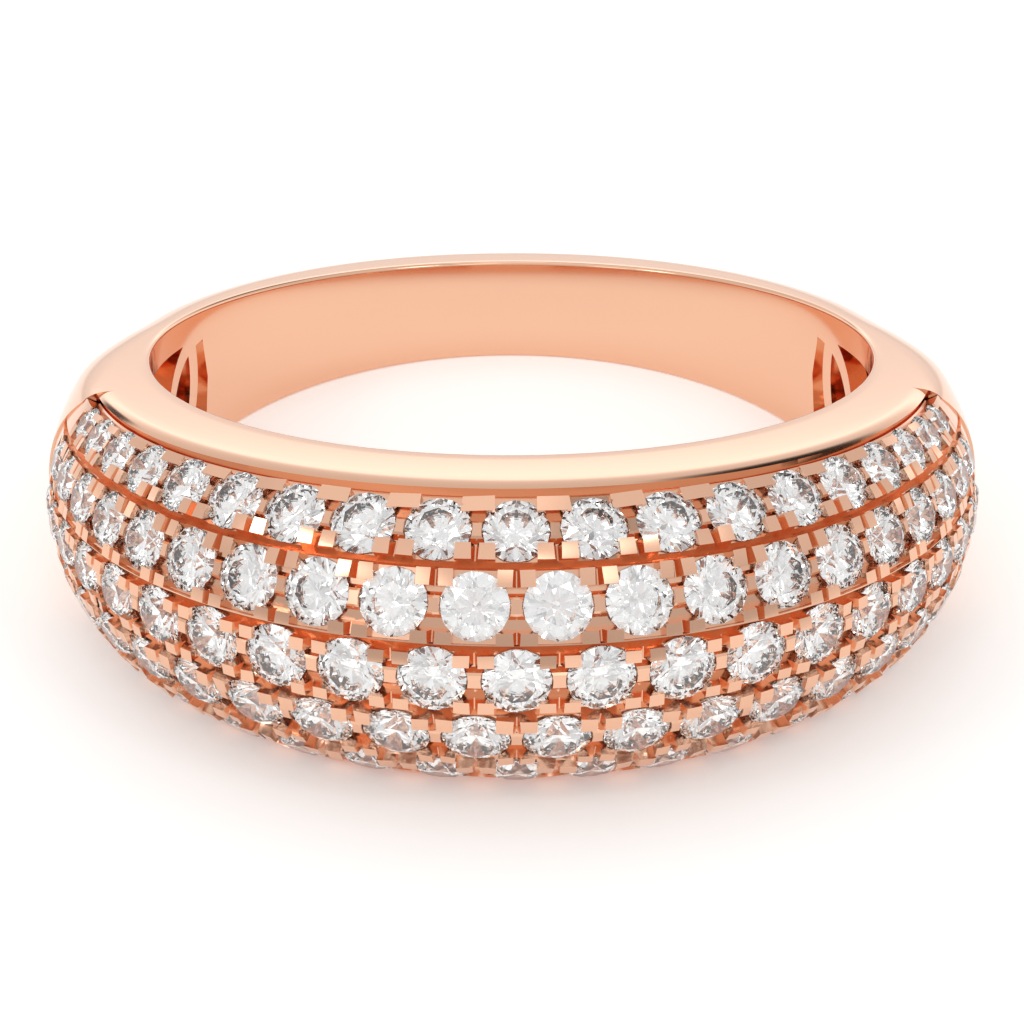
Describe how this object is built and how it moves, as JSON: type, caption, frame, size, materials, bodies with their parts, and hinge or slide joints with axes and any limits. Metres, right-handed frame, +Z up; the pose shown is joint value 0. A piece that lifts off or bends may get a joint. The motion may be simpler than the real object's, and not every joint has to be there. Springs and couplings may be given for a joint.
{
  "type": "pave ring",
  "caption": "Dome ring with rows of small round stones across the front, a hollow behind them and a plain tapering shank.",
  "frame": {"origin": "under the middle of the ring's box, on the surface that it lies on", "axes": "+Z is up from the surface. -Y is the front, with the stones. The finger hole leans 5.66 degrees from Z towards the back, because the ring lies on one of its tapering flat sides."},
  "size_m": [0.0214, 0.023, 0.0065],
  "materials": {
    "rose_gold": "high polish, rose gold alloy",
    "diamond": "cut and polished, colourless"
  },
  "bodies": {
    "root": {"band": "rose_gold", "stones": "diamond"}
  },
  "joints": []
}
